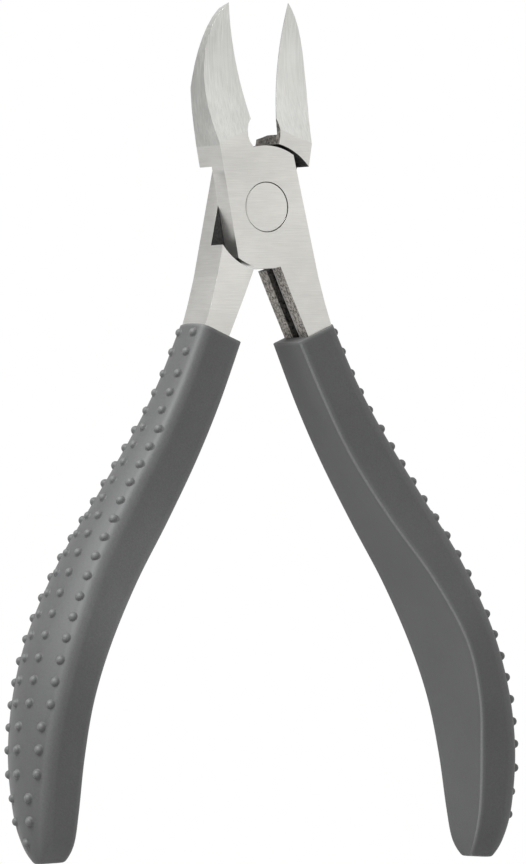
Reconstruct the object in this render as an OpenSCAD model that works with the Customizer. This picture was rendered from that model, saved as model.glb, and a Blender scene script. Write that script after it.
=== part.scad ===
// Plier-type nail nipper: two lap-jointed steel levers, a flush rivet, a hidden return spring and
// two soft grip sleeves. Upright: +Z to the jaws, +X right, +Y back, handle ends at z = 0.

/* [Overall] */
// Height of the pivot above the handle ends
pivot_z = 96; // [80:0.5:115]
// Thickness of the joint, both laps together
joint_t = 6.5; // [5:0.1:7.5]
// Height of the jaw tips above the pivot
jaw_h = 30.1; // [25:0.1:36]

/* [Joint] */
// Radius of the round boss of each lap
boss_r = 9.05; // [8:0.05:10.5]
// Gap between a boss and the shoulder it turns against
shoulder_gap = 0.5; // [0.3:0.05:1]
// Gap between the two lap faces
lap_gap = 0.05; // [0.02:0.01:0.1]

/* [Rivet] */
// Diameter of the flush rivet heads
rivet_head_d = 7.3; // [6:0.1:9]
// Thickness of the rivet heads
rivet_head_t = 1.2; // [0.9:0.1:1.5]
// Diameter of the rivet shank
rivet_d = 4.4; // [3.5:0.1:5]
// Clearance round the rivet heads
head_gap = 0.08; // [0.04:0.01:0.15]
// Running clearance of the shank in the rear lever
run_gap = 0.03; // [0.02:0.01:0.08]

/* [Jaws] */
// Angle of each cutting edge from the middle line, jaws open
edge_angle = 9.8; // [6:0.1:14]
// Depth of the cutting edge in front of the lap plane
edge_y = 0.85; // [0.6:0.05:1.8]
// Radius of the hollow ground on the front of each jaw
front_hollow_r = 32; // [26:0.5:50]
// Depth of the front hollow's deepest line in front of the lap plane
front_hollow_y = 1.1; // [0.9:0.05:1.8]
// Radius of the hollow ground behind each cutting edge
back_hollow_r = 14; // [10:0.5:24]

/* [Spring] */
// Wire diameter of the return spring
wire_d = 0.7; // [0.5:0.05:0.8]
// Mean radius of the coil
coil_r = 3.15; // [2.9:0.05:3.4]
// Clearance between the coil and the floor of its pocket in each lap
pocket_gap = 0.1; // [0.05:0.01:0.3]
// Depth of the leg groove in each tang
groove_depth = 1.1; // [1:0.05:1.3]

/* [Grips] */
// Thickness of the tangs under the grips
tang_t = 5; // [4:0.1:5.6]
// Radius of the raised dots
dot_r = 0.64; // [0.4:0.02:0.8]
// Rows of dots down each grip
dot_rows = 26; // [18:1:30]

/* [Hidden] */
half_t = joint_t / 2;
head_r = rivet_head_d / 2;
shoulder_r = boss_r + shoulder_gap;
pocket_r = coil_r + wire_d / 2 + 0.25;
edge_tan = tan(edge_angle);
wire_y = wire_d * 0.55 / 0.7;
pocket_t = wire_y + wire_d / 2 + pocket_gap;
front_turn = atan(0.15);
flank_turn = 55;
flank_r = front_hollow_r / cos(flank_turn);
flank_y = front_hollow_y + 2.16;
groove_w = 2 * wire_y + wire_d + 0.1;
slot_w = wire_d + 0.3;

// Right grip, one row per station from the joint to the end: inner ridge x and z, half thickness at
// the ridge, tilt, width to the outer corner, half thickness there, rise of the outer side.
stations = [
    [5.1, -20.0, 3.7, 23, 6.6, 3.75, 0.8],
    [9.2, -29.0, 4.1, 27, 6.6, 4.0, 1.0],
    [13.6, -37.3, 4.5, 30.5, 6.8, 4.5, 1.3],
    [19.5, -46.3, 5.6, 34.5, 6.8, 5.0, 1.6],
    [25.8, -55.0, 7.1, 33, 6.2, 5.9, 2.0],
    [30.9, -64.0, 7.95, 24, 5.4, 6.9, 2.4],
    [33.5, -72.2, 7.2, 12, 5.4, 6.85, 2.5],
    [34.5, -80.4, 5.9, 4, 5.8, 6.1, 2.3],
    [34.9, -88.4, 4.7, 0, 5.5, 4.7, 1.9],
    [34.9, -93.0, 3.3, -2, 4.9, 3.3, 1.3],
    [35.2, -95.4, 1.5, -3, 4.1, 1.5, 0.5],
    [35.8, -95.8, 0.7, -3, 3.1, 0.7, 0.1],
];
last = len(stations) - 1;

function pick(i) = stations[max(0, min(last, i))];
// Smooth curve through the stations at i + f
function blend4(a, b, c, d, f) =
    b + f * ((c - a) / 2 + f * ((a - 2.5 * b + 2 * c - d / 2) + f * (1.5 * (b - c) + (d - a) / 2)));
function at(t) = let (i = min(last - 1, floor(t)), f = t - i)
    blend4(pick(i - 1), pick(i), pick(i + 1), pick(i + 2), f);
// Point of the grip's middle plane, w out from the inner ridge
function spot(t, w) = let (s = at(t)) [s[0] + w * cos(s[3]), s[1] + w * sin(s[3])];

// Length along the outer side up to each station, for the spacing of the dots
function reach(i) = i == 0 ? 0 : reach(i - 1) + norm(spot(i, at(i)[4]) - spot(i - 1, at(i - 1)[4]));
lengths = [for (i = [0:last]) [reach(i), i]];

// Tang under the grip: inner offset from the ridge and width, both along the grip
tang_end = 5.7;
function tang_in(t) = 2.06 + 0.04 * t;
function tang_w(t) = 4.37 - 0.28 * t;
tang_stops = [for (i = [0:14]) tang_end * i / 14];

// Inner face of the tang from the boss down to the grip, then down inside it
face_top = [[2.3, -8.9], [4.3, -13.4]];
groove_end = 3.2;
groove_stops = [for (i = [0:8]) groove_end * i / 8];
function tang_norm(t) = [cos(at(t)[3]), sin(at(t)[3])];
groove_face = concat(
    [for (p = face_top) [p, [cos(24), sin(24)]]],
    [for (t = groove_stops) [spot(t, tang_in(t)), tang_norm(t)]]);

steel = [0.72, 0.71, 0.69];
dark_steel = [0.45, 0.44, 0.43];
rubber = [0.33, 0.34, 0.35];

// Solid between two depths from an outline in the x-z plane
module slab(y0, y1) {
    translate([0, y1, 0]) rotate([90, 0, 0]) linear_extrude(height = y1 - y0) children();
}

// Outline of a jaw at +X; the throat of the rear one, side 1, is shallower
module jaw_outline(side) {
    k = side > 0 ? 0.35 : 1;
    polygon([
        [1, 5], [2.2, 8.9], [2.2 + 0.55 * k, 9.6], [2.25 + 0.8 * k, 10.4], [2.3 + 0.8 * k, 11.3],
        [2.3 + 0.5 * k, 12.2],
        [13 * edge_tan, 13], [jaw_h * edge_tan, jaw_h],
        [5.9, jaw_h - 0.75], [6.75, jaw_h - 1.95], [7.5, jaw_h - 3.45], [8.05, jaw_h - 5.1],
        [8.45, jaw_h - 6.9], [8.7, jaw_h - 8.8], [8.83, 18.9], [8.85, 17.2], [8.72, 14.8],
        [8.42, 12.1], [7.98, 9], [6.58, 1],
    ]);
}

module lap_outline() {
    intersection() {
        circle(r = boss_r, $fn = 96);
        polygon([[8.18, 10], [4.71, -9.5], [-8.64, -9.5], [-4.41, 9.4]]);
    }
}

// Tang as far as the grip, on the +X side
module bare_tang_outline() {
    polygon(concat(
        [[2, -5], face_top[0], face_top[1], spot(0, tang_in(0))],
        [spot(0, tang_in(0) + tang_w(0))],
        [[9.9, -14.1], [8.8, -10.2], [7.7, -5.3], [7.18, -3]]));
}

// Tang inside the grip; lift carries it up into the bare tang
module covered_tang_outline(lift) {
    up = lift * [-sin(23), cos(23)];
    polygon(concat(
        [spot(0, tang_in(0)) + up],
        [for (t = tang_stops) if (t > 0) spot(t, tang_in(t))],
        [for (i = [len(tang_stops) - 1:-1:1]) let (t = tang_stops[i])
            spot(t, tang_in(t) + tang_w(t) - (i == len(tang_stops) - 1 ? 0.8 : 0))],
        [spot(0, tang_in(0) + tang_w(0)) + up]));
}

module groove_outline() {
    n = len(groove_face);
    polygon(concat(
        [for (g = groove_face) g[0] - 0.8 * g[1]],
        [for (i = [n - 1:-1:0]) groove_face[i][0] + groove_depth * groove_face[i][1]]));
}

// Leg slot in the lap face, from the coil pocket to the groove, on the +X side
module slot_outline() {
    polygon([
        [coil_r - slot_w / 2, 0], [coil_r + slot_w / 2, 0],
        [leg_top[0] + slot_w / 2, leg_top[1] - 0.6], [leg_top[0] - slot_w / 2, leg_top[1] - 0.6],
    ]);
}

// Flank ground behind the cutting edge, so that the edge follows the front hollow with a narrow land
module edge_flank() {
    rotate([0, 0, flank_turn]) difference() {
        translate([-20, -flank_y - 3, 10.7]) cube([40, 20, 30]);
        translate([0, -flank_y - flank_r, 15.35]) rotate([0, 90, 0])
            cylinder(r = flank_r, h = 60, center = true, $fn = 180);
    }
}

// Ground faces of the right jaw
module jaw_cuts() {
    edge_flank();
    // front hollow
    translate([3.8, -front_hollow_r / cos(front_turn) - front_hollow_y, 22.4])
        rotate([0, 0, front_turn]) rotate([0, 90, 0])
            cylinder(r = front_hollow_r, h = 60, center = true, $fn = 180);
    // slope of the back towards the tip
    translate([0, half_t, 17.8]) rotate([atan(0.3), 0, 0]) translate([-20, 0, 0])
        cube([40, 10, 30]);
    // hollow behind the cutting edge
    rotate([0, edge_angle, 0]) translate([0, -edge_y, 0])
        translate([-0.53 * back_hollow_r, 0.845 * back_hollow_r, 10.3]) {
            cylinder(r1 = back_hollow_r - 3.5, r2 = back_hollow_r, h = 0.8, $fn = 120);
            translate([0, 0, 0.8]) cylinder(r = back_hollow_r, h = 30, $fn = 120);
        }
}

// Lever with its jaw at +X and its tang at -X; side is -1 for the front lap and 1 for the rear
module lever(side) {
    own = side > 0 ? [lap_gap / 2, half_t] : [-half_t, -lap_gap / 2];
    other = side > 0 ? [-half_t, lap_gap / 2 + 0.01] : [-lap_gap / 2 - 0.01, half_t];
    difference() {
        union() {
            slab(own[0], own[1]) {
                jaw_outline(side);
                lap_outline();
                mirror([1, 0]) bare_tang_outline();
            }
            slab(other[0], other[1]) difference() {
                union() {
                    jaw_outline(side);
                    mirror([1, 0]) bare_tang_outline();
                }
                circle(r = shoulder_r, $fn = 96);
            }
            slab(-tang_t / 2, tang_t / 2) mirror([1, 0]) covered_tang_outline(2);
        }
        jaw_cuts();
        rotate([90, 0, 0]) cylinder(r = rivet_d / 2 + (side > 0 ? run_gap : 0), h = 20,
            center = true, $fn = 64);
        slab(side > 0 ? half_t - rivet_head_t - 0.02 : -half_t - 1,
            side > 0 ? half_t + 1 : -half_t + rivet_head_t)
            circle(r = head_r + head_gap, $fn = 72);
        slab(side > 0 ? -0.5 : -pocket_t, side > 0 ? pocket_t : 0.5)
            circle(r = pocket_r, $fn = 72);
        slab(side > 0 ? -0.5 : -pocket_t, side > 0 ? pocket_t : 0.5)
            mirror([1, 0]) slot_outline();
        slab(-groove_w / 2, groove_w / 2) mirror([1, 0]) groove_outline();
    }
}

module front_lever() {
    color(steel) translate([0, 0, pivot_z]) mirror([1, 0, 0]) lever(-1);
}

module rear_lever() {
    color(steel) translate([0, 0, pivot_z]) lever(1);
}

module pivot_rivet() {
    color(steel) translate([0, 0, pivot_z]) {
        slab(-half_t, -half_t + rivet_head_t) circle(r = head_r, $fn = 72);
        slab(-half_t + rivet_head_t, half_t - rivet_head_t) circle(r = rivet_d / 2, $fn = 64);
        slab(half_t - rivet_head_t, half_t) circle(r = head_r, $fn = 72);
    }
}

// Wire centre line: front leg up its groove, one and a half turns, rear leg down the other groove
leg_inset = 0.55;
leg_top = face_top[0] + leg_inset * [cos(24), sin(24)];
leg_run = concat(
    [for (g = groove_face) g[0] + leg_inset * g[1]]);
coil_steps = 36;
wire_line = concat(
    [for (i = [len(leg_run) - 1:-1:0]) [leg_run[i][0], -wire_y, leg_run[i][1]]],
    [for (i = [0:coil_steps]) let (a = 540 * i / coil_steps)
        [coil_r * cos(a), wire_y * (2 * i / coil_steps - 1), coil_r * sin(a)]],
    [for (i = [0:len(leg_run) - 1]) [-leg_run[i][0], wire_y, leg_run[i][1]]]);
wire_sides = 10;
wire_n = len(wire_line);

function unit(v) = v / norm(v);
function ring(i) = let (
        t = unit(wire_line[min(wire_n - 1, i + 1)] - wire_line[max(0, i - 1)]),
        u = unit(cross(t, [0, 1, 0])), v = cross(u, t))
    [for (k = [0:wire_sides - 1]) let (a = 360 * k / wire_sides)
        wire_line[i] + wire_d / 2 * (cos(a) * u + sin(a) * v)];

module return_spring() {
    color(dark_steel) translate([0, 0, pivot_z]) polyhedron(
        points = [for (i = [0:wire_n - 1]) for (p = ring(i)) p],
        faces = concat(
            [[for (k = [0:wire_sides - 1]) k]],
            [for (i = [0:wire_n - 2]) for (k = [0:wire_sides - 1]) let (
                    a = i * wire_sides + k, b = i * wire_sides + (k + 1) % wire_sides)
                each [[a, a + wire_sides, b + wire_sides], [a, b + wire_sides, b]]],
            [[for (k = [wire_sides - 1:-1:0]) (wire_n - 1) * wire_sides + k]]));
}

// Cross-section of the grip at station t: flat inner face, flat sides, rounded outer side
side_steps = 10;
function rise(s, y) = s[6] * (1 - (y / s[5]) * (y / s[5]));
function section(t) = let (s = at(t), c = cos(s[3]), n = sin(s[3]))
    [for (q = concat(
            [[0, s[2]], [0, -s[2]]],
            [for (k = [0:side_steps]) let (y = s[5] * (2 * k / side_steps - 1))
                [s[4] + rise(s, y), y]]))
        [s[0] + q[0] * c, q[1], s[1] + q[0] * n]];
grip_sides = side_steps + 3;
grip_stops = concat([for (i = [0:2 * (last - 2)]) i / 2], [last - 1.67, last - 1.33, last - 1,
    last - 0.6, last - 0.3, last]);
grip_n = len(grip_stops);

// Columns of dots in a row, as signed parts of the half thickness
function columns(row) =
    row < 5 ? [-0.5, 0.5] :
    row < 10 ? [-0.72, 0, 0.72] :
    row < 20 ? [-0.8, -0.27, 0.27, 0.8] :
    row < 23 ? [-0.68, 0, 0.68] :
    row < 25 ? [-0.42, 0.42] : [0];
dot_first = 1.9;
dot_pitch = 3.06;
dot_growth = 0.0065;
function dot_t(row) = lookup(dot_first + dot_pitch * row + dot_growth * row * row, lengths);

// Grip on the +X side
module grip() {
    difference() {
        polyhedron(
            points = [for (t = grip_stops) for (p = section(t)) p],
            faces = concat(
                [[for (k = [grip_sides - 1:-1:0]) k]],
                [for (i = [0:grip_n - 2]) for (k = [0:grip_sides - 1]) let (
                        a = i * grip_sides + k, b = i * grip_sides + (k + 1) % grip_sides)
                    each [[a, b, b + grip_sides], [a, b + grip_sides, a + grip_sides]]],
                [[for (k = [0:grip_sides - 1]) (grip_n - 1) * grip_sides + k]]));
        slab(-tang_t / 2, tang_t / 2) covered_tang_outline(2);
    }
    for (row = [0:dot_rows - 1]) {
        s = at(dot_t(row));
        for (f = columns(row)) {
            y = f * s[5];
            w = s[4] + rise(s, y) - 0.06;
            translate([s[0] + w * cos(s[3]), y, s[1] + w * sin(s[3])]) sphere(r = dot_r, $fn = 20);
        }
    }
}

module left_grip() {
    color(rubber) translate([0, 0, pivot_z]) mirror([1, 0, 0]) grip();
}

module right_grip() {
    color(rubber) translate([0, 0, pivot_z]) grip();
}

front_lever();
rear_lever();
pivot_rivet();
return_spring();
left_grip();
right_grip();
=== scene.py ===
import math

import bmesh
import bpy
from mathutils import Matrix, Vector


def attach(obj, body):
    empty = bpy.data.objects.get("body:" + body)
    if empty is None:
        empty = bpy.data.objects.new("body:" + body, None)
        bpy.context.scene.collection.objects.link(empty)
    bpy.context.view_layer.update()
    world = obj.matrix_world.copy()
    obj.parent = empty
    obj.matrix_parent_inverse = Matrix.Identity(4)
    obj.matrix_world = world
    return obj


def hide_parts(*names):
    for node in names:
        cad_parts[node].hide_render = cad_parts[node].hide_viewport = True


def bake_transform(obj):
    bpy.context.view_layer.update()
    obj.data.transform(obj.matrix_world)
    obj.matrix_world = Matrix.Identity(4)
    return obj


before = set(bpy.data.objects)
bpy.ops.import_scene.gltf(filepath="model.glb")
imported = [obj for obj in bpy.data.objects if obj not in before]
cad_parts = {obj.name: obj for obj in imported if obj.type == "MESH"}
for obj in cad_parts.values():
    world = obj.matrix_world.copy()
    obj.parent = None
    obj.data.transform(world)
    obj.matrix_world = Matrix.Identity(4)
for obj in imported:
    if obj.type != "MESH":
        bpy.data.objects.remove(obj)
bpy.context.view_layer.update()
print("stage: frame loaded")

mm = 0.001
pivotZ = 0.096
halfThick = 3.25
pivotPoint = Vector((0.0, 0.0, pivotZ))


# The grip's line is shared by the sleeves and the spring's legs, in millimetres from the pivot.
# Each row is a station down the right grip, named as below, with the tilt in degrees.
stationNames = ("ridgeX", "ridgeZ", "ridgeHalf", "tilt", "width", "cornerHalf", "rise")
gripStations = [
    (5.1, -20.0, 3.7, 23.0, 6.6, 3.75, 0.8),
    (9.2, -29.0, 4.1, 27.0, 6.6, 4.0, 1.0),
    (13.6, -37.3, 4.5, 30.5, 6.8, 4.5, 1.3),
    (19.5, -46.3, 5.6, 34.5, 6.8, 5.0, 1.6),
    (25.8, -55.0, 7.1, 33.0, 6.2, 5.9, 2.0),
    (30.9, -64.0, 7.95, 24.0, 5.4, 6.9, 2.4),
    (33.5, -72.2, 7.2, 12.0, 5.4, 6.85, 2.5),
    (34.5, -80.4, 5.9, 4.0, 5.8, 6.1, 2.3),
    (34.9, -88.4, 4.7, 0.0, 5.5, 4.7, 1.9),
    (34.9, -93.0, 3.3, -2.0, 4.9, 3.3, 1.3),
    (35.2, -95.4, 1.5, -3.0, 4.1, 1.5, 0.5),
    (35.8, -95.8, 0.7, -3.0, 3.1, 0.7, 0.1),
]
lastStation = len(gripStations) - 1
# The tang's inner face lies this far in from the ridge, and its leg of wire starts at the joint
tangSizes = {"inset": 2.06, "insetGrowth": 0.04, "width": 4.37, "lean": 24,
             "top": (2.3, -8.9), "bend": (4.3, -13.4), "legEnd": 3.2, "legSteps": 16}


# A smooth curve through the stations, at t stations down
def stationAt(t):
    i = max(0, min(lastStation - 1, math.floor(t)))
    f = t - i
    near = [gripStations[max(0, min(lastStation, i + k))] for k in (-1, 0, 1, 2)]
    values = [b + f * ((c - a) / 2 + f * ((a - 2.5 * b + 2 * c - d / 2)
                                          + f * (1.5 * (b - c) + (d - a) / 2)))
              for a, b, c, d in zip(*near)]
    return dict(zip(stationNames, values))


def tiltVector(s):
    tilt = math.radians(s["tilt"])
    return Vector((math.cos(tilt), 0.0, math.sin(tilt)))


def gripPoint(s, w, y):
    return Vector((s["ridgeX"], y, s["ridgeZ"])) + w * tiltVector(s)


# How far the outer side bulges past the corners, at y
def rise(s, y):
    return s["rise"] * (1 - (y / s["cornerHalf"]) ** 2)


def outerPoint(s, y):
    return gripPoint(s, s["width"] + rise(s, y), y)


# From millimetres at the pivot to the frame
def toFrame(bm):
    bmesh.ops.transform(bm, matrix=Matrix.Translation(pivotPoint) @ Matrix.Scale(mm, 4),
                        verts=bm.verts[:])


def ringEdges(bm, ring):
    return [bm.edges.get((ring[k - 1], ring[k])) for k in range(len(ring))]


# Extrudes a ring of vertices and gives the new ring in the same order
def growRing(bm, ring):
    grown = set(bmesh.ops.extrude_edge_only(bm, edges=ringEdges(bm, ring))["geom"])
    return [next(e.other_vert(v) for e in v.link_edges if e.other_vert(v) in grown)
            for v in ring]


def newObject(name, bm):
    mesh = bpy.data.meshes.new(name)
    bm.normal_update()
    bm.to_mesh(mesh)
    bm.free()
    piece = bpy.data.objects.new(name, mesh)
    bpy.context.scene.collection.objects.link(piece)
    return piece


def shadeSmooth(piece, angle=None):
    for poly in piece.data.polygons:
        poly.use_smooth = True
    if angle is not None:
        piece.data.set_sharp_from_angle(angle=math.radians(angle))


def newMaterial(name):
    mat = bpy.data.materials.new(name)
    mat.use_nodes = True
    nodes = mat.node_tree.nodes
    nodes.clear()
    out = nodes.new("ShaderNodeOutputMaterial")
    shader = nodes.new("ShaderNodeBsdfPrincipled")
    mat.node_tree.links.new(shader.outputs[0], out.inputs[0])
    return mat, nodes, mat.node_tree.links, shader


def scaledCoords(nodes, links, scale):
    coords = nodes.new("ShaderNodeTexCoord")
    mapping = nodes.new("ShaderNodeMapping")
    mapping.inputs["Scale"].default_value = scale
    links.new(coords.outputs["Object"], mapping.inputs["Vector"])
    return mapping.outputs[0]


def noise(nodes, links, scale, detail, rough):
    tex = nodes.new("ShaderNodeTexNoise")
    tex.inputs["Scale"].default_value = 1.0
    tex.inputs["Detail"].default_value = detail
    tex.inputs["Roughness"].default_value = rough
    links.new(scaledCoords(nodes, links, scale), tex.inputs["Vector"])
    return tex.outputs["Fac"]


def ramp(nodes, links, fac, low, high, lowColour, highColour):
    node = nodes.new("ShaderNodeValToRGB")
    node.color_ramp.elements[0].position = low
    node.color_ramp.elements[1].position = high
    node.color_ramp.elements[0].color = (*lowColour, 1)
    node.color_ramp.elements[1].color = (*highColour, 1)
    links.new(fac, node.inputs[0])
    return node.outputs[0]


def spread(nodes, links, fac, low, high):
    node = nodes.new("ShaderNodeMapRange")
    node.inputs["To Min"].default_value = low
    node.inputs["To Max"].default_value = high
    links.new(fac, node.inputs["Value"])
    return node.outputs[0]


def bumpChain(nodes, links, shader, layers):
    before = None
    for fac, strength, distance in layers:
        bump = nodes.new("ShaderNodeBump")
        bump.inputs["Strength"].default_value = strength
        bump.inputs["Distance"].default_value = distance
        links.new(fac, bump.inputs["Height"])
        if before:
            links.new(before, bump.inputs["Normal"])
        before = bump.outputs[0]
    links.new(before, shader.inputs["Normal"])


def steelMaterial(name, stretch, low, high, roughness, depth, dark):
    mat, nodes, links, shader = newMaterial(name)
    lines = noise(nodes, links, stretch, 4.0, 0.65)
    cloud = noise(nodes, links, (90, 90, 90), 4.0, 0.6)
    grain = noise(nodes, links, (5200, 5200, 5200), 2.0, 0.6)
    mix = nodes.new("ShaderNodeMix")
    mix.data_type = "RGBA"
    mix.blend_type = "MULTIPLY"
    mix.inputs["Factor"].default_value = 0.8
    links.new(ramp(nodes, links, cloud, 0.3, 0.72, low, high), mix.inputs[6])
    links.new(ramp(nodes, links, lines, 0.32, 0.66, (dark, dark, dark), (1, 1, 1)), mix.inputs[7])
    links.new(mix.outputs[2], shader.inputs["Base Color"])
    shader.inputs["Metallic"].default_value = 1.0
    rough = nodes.new("ShaderNodeMath")
    rough.operation = "ADD"
    links.new(spread(nodes, links, lines, roughness - 0.05, roughness + 0.05), rough.inputs[0])
    links.new(spread(nodes, links, cloud, -0.04, 0.06), rough.inputs[1])
    links.new(rough.outputs[0], shader.inputs["Roughness"])
    bumpChain(nodes, links, shader, [(lines, depth, 0.00003), (grain, 0.12, 0.00002)])
    return mat


def scaleMaterial(name, low, high, metal, roughness, depth):
    mat, nodes, links, shader = newMaterial(name)
    mottle = noise(nodes, links, (2600, 2600, 2600), 6.0, 0.75)
    pits = noise(nodes, links, (6000, 6000, 6000), 3.0, 0.6)
    links.new(ramp(nodes, links, mottle, 0.4, 0.6, low, high), shader.inputs["Base Color"])
    shader.inputs["Metallic"].default_value = metal
    links.new(spread(nodes, links, pits, roughness - 0.1, roughness + 0.12),
              shader.inputs["Roughness"])
    bumpChain(nodes, links, shader, [(mottle, depth, 0.0002), (pits, depth, 0.00008)])
    return mat


def rubberMaterial():
    mat, nodes, links, shader = newMaterial("softGrip")
    cloud = noise(nodes, links, (70, 70, 70), 4.0, 0.6)
    grain = noise(nodes, links, (3800, 3800, 3800), 3.0, 0.6)
    wearAndHighlight = nodes.new("ShaderNodeAttribute")
    wearAndHighlight.attribute_name = "wearAndHighlight"
    base = ramp(nodes, links, cloud, 0.25, 0.75, (0.055, 0.055, 0.055), (0.066, 0.067, 0.066))
    mix = nodes.new("ShaderNodeMix")
    mix.data_type = "RGBA"
    # The pale rubber colour, for wear and painted highlight on the ridge, edges, rim and dot tops
    mix.inputs[7].default_value = (0.149, 0.152, 0.149, 1)
    links.new(spread(nodes, links, wearAndHighlight.outputs["Fac"], 0.0, 0.8), mix.inputs["Factor"])
    links.new(base, mix.inputs[6])
    speckle = nodes.new("ShaderNodeMix")
    speckle.data_type = "RGBA"
    speckle.blend_type = "MULTIPLY"
    speckle.inputs["Factor"].default_value = 1.0
    links.new(mix.outputs[2], speckle.inputs[6])
    links.new(ramp(nodes, links, grain, 0.3, 0.7, (0.8, 0.8, 0.8), (1.04, 1.04, 1.04)),
              speckle.inputs[7])
    links.new(speckle.outputs[2], shader.inputs["Base Color"])
    links.new(spread(nodes, links, grain, 0.5, 0.68), shader.inputs["Roughness"])
    shader.inputs["Specular IOR Level"].default_value = 0.42
    shader.inputs["Sheen Weight"].default_value = 0.06
    shader.inputs["Sheen Roughness"].default_value = 0.5
    bumpChain(nodes, links, shader, [(cloud, 0.15, 0.0004), (grain, 0.35, 0.00006)])
    return mat


# stretch is how fine the grinding lines are along x, y and z
satinJoint = steelMaterial("satinJoint", stretch=(260, 260, 6500), low=(0.62, 0.612, 0.58),
                           high=(0.71, 0.702, 0.668), roughness=0.36, depth=0.25, dark=0.86)
satinJaw = steelMaterial("satinJaw", stretch=(7000, 2500, 80), low=(0.62, 0.62, 0.592),
                         high=(0.74, 0.74, 0.71), roughness=0.33, depth=0.5, dark=0.76)
satinRivet = steelMaterial("satinRivet", stretch=(300, 300, 6000), low=(0.63, 0.622, 0.59),
                           high=(0.72, 0.712, 0.678), roughness=0.34, depth=0.25, dark=0.86)
wireSteel = steelMaterial("wireSteel", stretch=(1800, 1800, 1800), low=(0.30, 0.30, 0.29),
                          high=(0.40, 0.40, 0.39), roughness=0.32, depth=0.15, dark=0.82)
forged = scaleMaterial("forgedSkin", low=(0.05, 0.045, 0.04), high=(0.46, 0.43, 0.39),
                       metal=0.6, roughness=0.55, depth=0.6)
throat = scaleMaterial("throatSkin", low=(0.02, 0.018, 0.016), high=(0.24, 0.225, 0.2),
                       metal=0.5, roughness=0.55, depth=0.6)
# The groove's skin is the forged skin darkened with painted shade for the groove's floor and walls
groove = scaleMaterial("grooveSkin", low=(0.012, 0.011, 0.01), high=(0.14, 0.13, 0.12),
                       metal=0.5, roughness=0.6, depth=0.6)
# Dark scale with painted shade, near black, for the lap faces, the rivet's pocket and the shoulders'
# hollow walls
darkScaleAndShade = scaleMaterial("darkScaleAndPaintedShadeFace", low=(0.004, 0.004, 0.004), high=(0.03, 0.029, 0.028),
                          metal=0.2, roughness=0.6, depth=0.5)
softGrip = rubberMaterial()
print("stage: materials")


# Where each finish of a lever lies, painted shade among them, in millimetres from the pivot, and the
# round of its edges
leverSizes = {"edgeRound": 0.12, "bevelAngle": 28, "shadeAngle": 26, "lapHalf": 0.06,
              "pocketRadius": 4.2, "pocketDepth": 2.0, "shoulderRadius": 9.55,
              "shoulderBand": 0.2, "tangTop": -7.0, "grooveHalf": 0.6, "grooveWall": (0.8, 1.1),
              "throatRange": (8.0, 12.9), "throatHalf": 3.3, "jawLow": 9.0, "flatTop": 12.0}
leverSkins = {"joint": satinJoint, "jaw": satinJaw, "forged": forged, "black": darkScaleAndShade,
              "groove": groove, "throat": throat}


# The finish of one face, painted shade included: c is its middle, n its normal, side is the tang's
# side
def leverSkin(c, n, side):
    s = leverSizes
    radius = math.hypot(c.x, c.z)
    faceOn, edgeOn = abs(n.y) > 0.9, abs(n.y) < 0.3
    hollow = c.x * n.x + c.z * n.z < -0.9 * radius
    lowWall, highWall = s["grooveWall"]
    lowThroat, highThroat = s["throatRange"]
    # The lap faces, the rivet's pocket and the shoulders' hollow walls get dark scale with painted
    # shade
    if faceOn and abs(c.y) < s["lapHalf"]:
        return "black"
    if radius < s["pocketRadius"] and abs(c.y) < s["pocketDepth"]:
        return "black"
    if edgeOn and abs(radius - s["shoulderRadius"]) < s["shoulderBand"] and hollow:
        return "black"
    # The groove in the tang's inner face and its walls get the forged skin darkened with painted
    # shade
    if c.z < s["tangTop"] and edgeOn and n.x * side < -0.5:
        return "groove" if abs(c.y) < s["grooveHalf"] else "forged"
    if c.z < s["tangTop"] and faceOn and lowWall < abs(c.y) < highWall:
        return "groove"
    if lowThroat < c.z < highThroat and abs(c.x) < s["throatHalf"] and edgeOn:
        return "throat"
    if c.z > s["jawLow"] and (abs(n.y) < 0.999 or c.z > s["flatTop"]):
        return "jaw"
    return "joint"


def leverPiece(nodeName, body, side):
    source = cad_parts[nodeName]
    bm = bmesh.new()
    bm.from_mesh(source.data)
    bm.transform(source.matrix_world)
    bmesh.ops.remove_doubles(bm, verts=bm.verts[:], dist=2e-6)
    bmesh.ops.dissolve_degenerate(bm, edges=bm.edges[:], dist=1e-6)
    bmesh.ops.dissolve_limit(bm, angle_limit=math.radians(0.4), use_dissolve_boundaries=False,
                             verts=bm.verts[:], edges=bm.edges[:], delimit={"NORMAL"})
    piece = newObject(nodeName + "_body", bm)
    skinNames = list(leverSkins)
    for skin in leverSkins.values():
        piece.data.materials.append(skin)
    for poly in piece.data.polygons:
        skinName = leverSkin((poly.center - pivotPoint) / mm, poly.normal, side)
        poly.material_index = skinNames.index(skinName)
    bevel = piece.modifiers.new("edges", "BEVEL")
    bevel.affect = "EDGES"
    bevel.width = leverSizes["edgeRound"] * mm
    bevel.segments = 2
    bevel.profile = 0.5
    bevel.material = -1
    bevel.limit_method = "ANGLE"
    bevel.angle_limit = math.radians(leverSizes["bevelAngle"])
    bevel.miter_outer = "MITER_ARC"
    bevel.harden_normals = True
    bevel.use_clamp_overlap = True
    shadeSmooth(piece, leverSizes["shadeAngle"])
    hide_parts(nodeName)
    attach(piece, body)


leverBodies = {"front_lever": ("front_half", 1), "rear_lever": ("rear_half", -1)}
for leverName, (bodyName, tangSide) in leverBodies.items():
    leverPiece(leverName, bodyName, tangSide)
print("stage: levers")


rivetSizes = {"headRadius": 3.65, "headThick": 1.2, "shankRadius": 2.2, "round": 0.2,
              "roundSteps": 4, "crown": 0.05, "crownRings": (0.3, 0.55, 0.75, 0.9), "sides": 96}


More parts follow.
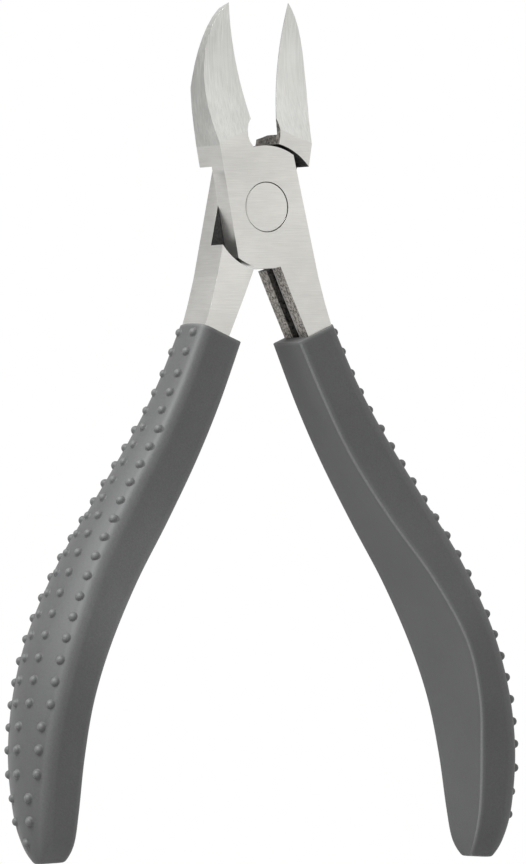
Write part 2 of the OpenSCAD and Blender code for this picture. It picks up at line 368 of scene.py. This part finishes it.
# Half of the rivet's outline, as radius and y, from the middle of the front head to the shank
def rivetOutline():
    s = rivetSizes
    outline = [(s["headRadius"] * k, -halfThick - s["crown"] * (1 - k * k))
               for k in (0.0, *s["crownRings"])]
    for k in range(s["roundSteps"] + 1):
        a = math.tau / 4 * k / s["roundSteps"]
        outline.append((s["headRadius"] - s["round"] * (1 - math.sin(a)),
                        -halfThick + s["round"] * (1 - math.cos(a))))
    under = -halfThick + s["headThick"]
    return outline + [(s["headRadius"], under), (s["shankRadius"], under)]


def rivetPiece():
    half = rivetOutline()
    bm = bmesh.new()
    verts = [bm.verts.new((r, y, 0)) for r, y in half + [(r, -y) for r, y in reversed(half)]]
    edges = [bm.edges.new(pair) for pair in zip(verts, verts[1:])]
    bmesh.ops.spin(bm, geom=verts + edges, cent=(0, 0, 0), axis=(0, 1, 0), angle=math.tau,
                   steps=rivetSizes["sides"], use_merge=True)
    bmesh.ops.remove_doubles(bm, verts=bm.verts[:], dist=0.0001)
    toFrame(bm)
    bmesh.ops.recalc_face_normals(bm, faces=bm.faces[:])
    piece = newObject("rivet", bm)
    piece.data.materials.append(satinRivet)
    shadeSmooth(piece, 40)
    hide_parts("pivot_rivet")
    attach(piece, "front_half")


rivetPiece()
print("stage: rivet")


springSizes = {"wire": 0.7, "coilRadius": 3.15, "turns": 1.5, "coilSteps": 108, "depth": 0.55,
               "inset": 0.55, "sides": 14}


# The wire's line down one leg, set in from the tang's inner face
def legLine():
    s, tang = springSizes, tangSizes
    lean = math.radians(tang["lean"])
    off = s["inset"] * Vector((math.cos(lean), 0.0, math.sin(lean)))
    line = [Vector((x, 0.0, z)) + off for x, z in (tang["top"], tang["bend"])]
    for k in range(tang["legSteps"] + 1):
        t = tang["legEnd"] * k / tang["legSteps"]
        line.append(gripPoint(stationAt(t), tang["inset"] + tang["insetGrowth"] * t + s["inset"],
                              0.0))
    return line


def springLine():
    s = springSizes
    leg = legLine()
    line = [Vector((p.x, -s["depth"], p.z)) for p in reversed(leg)]
    for k in range(s["coilSteps"] + 1):
        f = k / s["coilSteps"]
        a = math.tau * s["turns"] * f
        line.append(Vector((s["coilRadius"] * math.cos(a), s["depth"] * (2 * f - 1),
                            s["coilRadius"] * math.sin(a))))
    return line + [Vector((-p.x, s["depth"], p.z)) for p in leg]


# Sets a flat ring square across the line at point i
def wirePlace(line, i):
    along = (line[min(len(line) - 1, i + 1)] - line[max(0, i - 1)]).normalized()
    side = along.cross(Vector((0, 1, 0))).normalized()
    turn = Matrix((-side.cross(along), side, -along)).transposed().to_4x4()
    return Matrix.Translation(line[i]) @ turn


def springPiece():
    s = springSizes
    line = springLine()
    places = [wirePlace(line, i) for i in range(len(line))]
    bm = bmesh.new()
    start = bmesh.ops.create_circle(bm, cap_ends=True, segments=s["sides"],
                                    radius=s["wire"] / 2, matrix=places[0])
    ring = start["verts"][0].link_faces[0].verts[:]
    for before, place in zip(places, places[1:]):
        ring = growRing(bm, ring)
        bmesh.ops.transform(bm, matrix=place @ before.inverted(), verts=ring)
    bmesh.ops.contextual_create(bm, geom=ringEdges(bm, ring))
    toFrame(bm)
    bmesh.ops.recalc_face_normals(bm, faces=bm.faces[:])
    piece = newObject("spring_wire", bm)
    piece.data.materials.append(wireSteel)
    shadeSmooth(piece, 50)
    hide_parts("return_spring")
    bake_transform(piece)


springPiece()
print("stage: spring")


# Sizes in millimetres; socketFloor, socketStep, rimTop and rimDrop are in stations
gripSizes = {"ridgeRound": 0.35, "cornerRound": 1.3, "ridgeBulge": 0.05, "sideDip": 0.07,
             "rings": 150, "socketGap": 0.06, "socketShy": 0.45, "socketOver": 0.05,
             "socketFloor": 0.3, "socketStep": (0.012, 0.004), "rimRound": 0.28,
             "rimSteps": 4, "rimTop": -0.035, "rimDrop": 0.03}
# How pale the rubber is painted, for wear and painted highlight on the ridge, edges, rim and dot
# tops: 0 is not at all
gripWearAndHighlight = {"ridge": 1.0, "ridgeSide": 0.35, "corner": 0.12, "rim": 0.5, "mouth": 0.2, "dot": 0.5}
dotSizes = {"radius": 0.64, "height": 0.6, "foot": 0.26, "sides": 20, "domeStart": 12,
            "domeSteps": 7, "firstRow": 1.9, "rowPitch": 3.06, "pitchGrowth": 0.0065}
# The dot's skirt, outermost first: share of the foot beyond the radius, and height
dotSkirt = [(1.0, -0.09), (0.55, -0.01), (0.22, 0.05), (0.02, 0.13)]
# Rows of dots: the row that each pattern ends before, and the places across, 1 being the corner
dotPattern = [(5, (-0.5, 0.5)), (10, (-0.72, 0.0, 0.72)), (20, (-0.8, -0.27, 0.27, 0.8)),
              (23, (-0.68, 0.0, 0.68)), (25, (-0.42, 0.42)), (26, (0.0,))]


# Points round a corner between a and b, without the ends
def cornerCurve(a, corner, b, steps):
    return [a * (1 - f) ** 2 + corner * 2 * f * (1 - f) + b * f * f
            for f in (k / steps for k in range(1, steps))]


# The sleeve's outline at one station, as points across and along y, each with its wear and painted
# highlight
def gripSection(s):
    size, wearAndHighlightLevel = gripSizes, gripWearAndHighlight
    b, w, d = s["ridgeHalf"], s["width"], s["cornerHalf"]
    small = min(size["ridgeRound"], b * 0.4)
    big = min(size["cornerRound"], d * 0.45, w * 0.4)
    ridge, corner = Vector((0.0, -b)), Vector((w, -d))
    side = (corner - ridge).normalized()
    half = [(Vector((size["ridgeBulge"] * math.cos(math.pi * f / 2), -f * (b - small))), 0.0)
            for f in (k / 6 for k in range(7))]
    near, far = ridge + side * small, corner - side * big
    half += [(p, wearAndHighlightLevel["ridge"]) for p in cornerCurve(Vector((0.0, small - b)), ridge, near, 4)]
    for f in (k / 8 for k in range(9)):
        dip = Vector((0.0, size["sideDip"] * math.sin(math.pi * f)))
        half.append((near.lerp(far, f) + dip, 0.0 if f else wearAndHighlightLevel["ridgeSide"]))
    yEnd = big - d
    join = Vector((w + rise(s, yEnd), yEnd))
    pushed = corner + Vector((rise(s, big * 0.4 - d), 0.0))
    half += [(p, wearAndHighlightLevel["corner"]) for p in cornerCurve(far, pushed, join, 7)]
    half += [(Vector((w + rise(s, y), y)), 0.0) for y in (yEnd * (1 - k / 12) for k in range(13))]
    return half + [(Vector((p.x, -p.y)), wearAndHighlight) for p, wearAndHighlight in reversed(half[1:-1])]


# Moves a point of the outline straight towards the middle, on to the socket's wall
def socketPoint(p, middle, halfWide, halfDeep):
    d = p - middle
    return middle + d * min(halfWide / max(abs(d.x), 1e-6), halfDeep / max(abs(d.y), 1e-6))


# Every ring of the sleeve as points with their wear and painted highlight: the socket round the
# tang, the rim, the outside
def sleeveRings():
    size, wearAndHighlightLevel = gripSizes, gripWearAndHighlight
    outline = [p for p, _ in gripSection(stationAt(0.0))]
    middle = Vector((tangSizes["inset"] + tangSizes["width"] / 2, 0.0))
    halfWide = tangSizes["width"] / 2 + size["socketGap"]
    inner, mouth = ([socketPoint(p, middle, halfWide, halfThick + more) for p in outline]
                    for more in (-size["socketShy"], size["socketOver"]))
    lowStep, highStep = size["socketStep"]
    rings = [(inner, size["socketFloor"], 0.0), (inner, lowStep, 0.0), (mouth, highStep, 0.0),
             (mouth, size["rimTop"], wearAndHighlightLevel["mouth"])]
    for k in range(size["rimSteps"] + 1):
        a = math.tau / 4 * k / size["rimSteps"]
        inset = size["rimRound"] * (1 - math.sin(a))
        rings.append(([p - (p - middle).normalized() * inset for p in outline],
                      size["rimTop"] + size["rimDrop"] * (1 - math.cos(a)), wearAndHighlightLevel["rim"]))
    placed = [[(gripPoint(stationAt(t), p.x, p.y), wearAndHighlight) for p in points]
              for points, t, wearAndHighlight in rings]
    for k in range(1, size["rings"] + 1):
        s = stationAt(lastStation * k / size["rings"])
        placed.append([(gripPoint(s, p.x, p.y), wearAndHighlight) for p, wearAndHighlight in gripSection(s)])
    return placed


def sleeveShape(bm, wearAndHighlight):
    rings = sleeveRings()
    start = bmesh.ops.create_circle(bm, cap_ends=True, segments=len(rings[0]), radius=1.0)
    ring = start["verts"][0].link_faces[0].verts[:]
    for i, places in enumerate(rings):
        if i:
            ring = growRing(bm, ring)
        for vert, (place, wearAndHighlightLevel) in zip(ring, places):
            vert.co = place
            vert[wearAndHighlight] = wearAndHighlightLevel
    bmesh.ops.contextual_create(bm, geom=ringEdges(bm, ring))


# One dot standing at the origin
def dotShape(bm, wearAndHighlight):
    s = dotSizes
    outline = [(s["radius"] + s["foot"] * share, up) for share, up in dotSkirt]
    for k in range(1, s["domeSteps"]):
        a = math.radians(s["domeStart"] + (90 - s["domeStart"]) * k / s["domeSteps"])
        outline.append((s["radius"] * math.cos(a), s["height"] * math.sin(a)))
    outline.append((0.0, s["height"]))
    verts = [bm.verts.new((r, 0, z)) for r, z in outline]
    edges = [bm.edges.new(pair) for pair in zip(verts, verts[1:])]
    bmesh.ops.spin(bm, geom=verts + edges, cent=(0, 0, 0), axis=(0, 0, 1), angle=math.tau,
                   steps=s["sides"], use_merge=True)
    bmesh.ops.remove_doubles(bm, verts=bm.verts[:], dist=0.0001)
    bmesh.ops.contextual_create(bm, geom=[e for e in bm.edges if e.is_boundary])
    for vert in bm.verts:
        # Each dot is painted paler towards its top, a painted highlight
        vert[wearAndHighlight] = max(0.0, min(1.0, vert.co.z / s["height"])) * gripWearAndHighlight["dot"]


# How far down the outer side each station lies
def outerLengths():
    stations = [stationAt(i) for i in range(lastStation + 1)]
    spots = [gripPoint(s, s["width"], 0.0) for s in stations]
    lengths = [0.0]
    for before, spot in zip(spots, spots[1:]):
        lengths.append(lengths[-1] + (spot - before).length)
    return lengths


def stationForLength(lengths, want):
    i = next(k for k in range(lastStation) if want <= lengths[k + 1])
    return i + (want - lengths[i]) / (lengths[i + 1] - lengths[i])


# Where every dot stands, square to the outer side
def dotPlaces():
    lengths = outerLengths()
    step = 0.05
    for row in range(dotPattern[-1][0]):
        down = dotSizes["firstRow"] + dotSizes["rowPitch"] * row + dotSizes["pitchGrowth"] * row ** 2
        t = stationForLength(lengths, down)
        s = stationAt(t)
        ahead, behind = stationAt(min(lastStation, t + step)), stationAt(max(0.0, t - step))
        for share in next(columns for end, columns in dotPattern if row < end):
            y = share * s["cornerHalf"]
            slope = -2 * s["rise"] * y / s["cornerHalf"] ** 2
            across = slope * tiltVector(s) + Vector((0, 1, 0))
            out = across.cross(outerPoint(ahead, y) - outerPoint(behind, y)).normalized()
            if out.x < 0:
                out.negate()
            turn = Vector((0, 0, 1)).rotation_difference(out).to_matrix().to_4x4()
            yield Matrix.Translation(outerPoint(s, y)) @ turn


def gripPiece(name, nodeName, body, mirror):
    bm = bmesh.new()
    wearAndHighlight = bm.verts.layers.float.new("wearAndHighlight")
    dotShape(bm, wearAndHighlight)
    dot = bm.verts[:] + bm.edges[:] + bm.faces[:]
    for place in dotPlaces():
        copied = bmesh.ops.duplicate(bm, geom=dot)["geom"]
        verts = [part for part in copied if isinstance(part, bmesh.types.BMVert)]
        bmesh.ops.transform(bm, matrix=place, verts=verts)
    spare = [part for part in dot if isinstance(part, bmesh.types.BMVert)]
    bmesh.ops.delete(bm, geom=spare, context="VERTS")
    sleeveShape(bm, wearAndHighlight)
    toFrame(bm)
    if mirror:
        bmesh.ops.transform(bm, matrix=Matrix.Scale(-1, 4, (1, 0, 0)), verts=bm.verts[:])
    bmesh.ops.recalc_face_normals(bm, faces=bm.faces[:])
    piece = newObject(name, bm)
    piece.data.materials.append(softGrip)
    shadeSmooth(piece, 48)
    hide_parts(nodeName)
    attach(piece, body)


gripPiece("grip_right_sleeve", "right_grip", "front_half", False)
gripPiece("grip_left_sleeve", "left_grip", "rear_half", True)
print("stage: grips")


def stageMaterial():
    mat, nodes, links, shader = newMaterial("paleFloor")
    shader.inputs["Base Color"].default_value = (0.4, 0.4, 0.4, 1)
    shader.inputs["Roughness"].default_value = 0.9
    shader.inputs["Emission Color"].default_value = (1, 1, 1, 1)
    path = nodes.new("ShaderNodeLightPath")
    links.new(spread(nodes, links, path.outputs["Is Camera Ray"], 0.2, 0.8),
              shader.inputs["Emission Strength"])
    return mat


# The floor lies below the handles, so that the one that closes stays clear of it
floorSizes = {"radius": 0.7, "drop": 0.0085, "sides": 96}


def addFloor():
    bm = bmesh.new()
    bmesh.ops.create_circle(bm, cap_ends=True, radius=floorSizes["radius"],
                            segments=floorSizes["sides"],
                            matrix=Matrix.Translation((0, 0, -floorSizes["drop"])))
    floor = newObject("paleFloorSheet", bm)
    floor.data.materials.append(stageMaterial())


# Every lamp is aimed at the middle of the tool
lampAim = (0, 0, 0.06)


def addLight(name, place, size, power, colour):
    data = bpy.data.lights.new(name, "AREA")
    data.shape = "RECTANGLE"
    data.size = data.size_y = size
    data.energy = power
    data.color = colour
    lamp = bpy.data.objects.new(name, data)
    lamp.location = place
    lamp.rotation_euler = (Vector(lampAim) - Vector(place)).to_track_quat("-Z", "Y").to_euler()
    bpy.context.scene.collection.objects.link(lamp)


# The room is brighter towards lean, and white where the camera sees it
roomLight = {"level": 0.65, "lean": (0.25, -0.03, 0.36)}


def setWorld():
    world = bpy.data.worlds.new("studio")
    world.use_nodes = True
    bpy.context.scene.world = world
    nodes, links = world.node_tree.nodes, world.node_tree.links
    nodes.clear()
    out = nodes.new("ShaderNodeOutputWorld")
    back = nodes.new("ShaderNodeBackground")
    room = nodes.new("ShaderNodeBackground")
    mix = nodes.new("ShaderNodeMixShader")
    path = nodes.new("ShaderNodeLightPath")
    back.inputs["Color"].default_value = (1, 1, 1, 1)
    back.inputs["Strength"].default_value = 1.0
    coords = nodes.new("ShaderNodeTexCoord")
    toward = nodes.new("ShaderNodeVectorMath")
    toward.operation = "DOT_PRODUCT"
    toward.inputs[1].default_value = roomLight["lean"]
    level = nodes.new("ShaderNodeMath")
    level.operation = "ADD"
    level.inputs[1].default_value = roomLight["level"]
    links.new(coords.outputs["Generated"], toward.inputs[0])
    links.new(toward.outputs["Value"], level.inputs[0])
    links.new(level.outputs[0], room.inputs["Color"])
    room.inputs["Strength"].default_value = 1.0
    links.new(path.outputs["Is Camera Ray"], mix.inputs[0])
    links.new(room.outputs[0], mix.inputs[1])
    links.new(back.outputs[0], mix.inputs[2])
    links.new(mix.outputs[0], out.inputs[0])


# Angles in degrees, the rest in metres. The pivot is this far left of the view's middle and above it
viewSizes = {"azimuth": -32.68, "elevation": -1.3, "roll": -0.88, "left": 0.00118,
             "above": 0.03297, "distance": 2.5, "height": 0.12706}
sensorHeight = 24.0


def addCamera():
    s = viewSizes
    azimuth, elevation, roll = (math.radians(s[k]) for k in ("azimuth", "elevation", "roll"))
    back = Vector((math.sin(azimuth) * math.cos(elevation),
                   -math.cos(azimuth) * math.cos(elevation), math.sin(elevation)))
    right = Vector((math.cos(azimuth), math.sin(azimuth), 0.0))
    up = back.cross(right)
    turned = Matrix.Rotation(roll, 4, back)
    right, up = turned @ right, turned @ up
    aim = pivotPoint + right * s["left"] - up * s["above"]
    data = bpy.data.cameras.new("view")
    data.sensor_fit = "VERTICAL"
    data.sensor_height = sensorHeight
    data.lens = sensorHeight * s["distance"] / s["height"]
    data.clip_start = 0.05
    data.clip_end = 30.0
    camera = bpy.data.objects.new("view", data)
    turn = Matrix((right, up, back)).transposed().to_4x4()
    camera.matrix_world = Matrix.Translation(aim + back * s["distance"]) @ turn
    bpy.context.scene.collection.objects.link(camera)
    bpy.context.scene.camera = camera


addFloor()
setWorld()
addLight("keyLeft", place=(-0.62, -0.10, 0.78), size=0.5, power=17.4, colour=(0.98, 0.99, 1.0))
addLight("fillRight", place=(0.65, -1.0, 0.2), size=1.2, power=0.8, colour=(1.0, 0.995, 0.985))
addCamera()
scene = bpy.context.scene
scene.view_settings.view_transform = "Standard"
scene.view_settings.look = "None"
print("stage: light and camera")
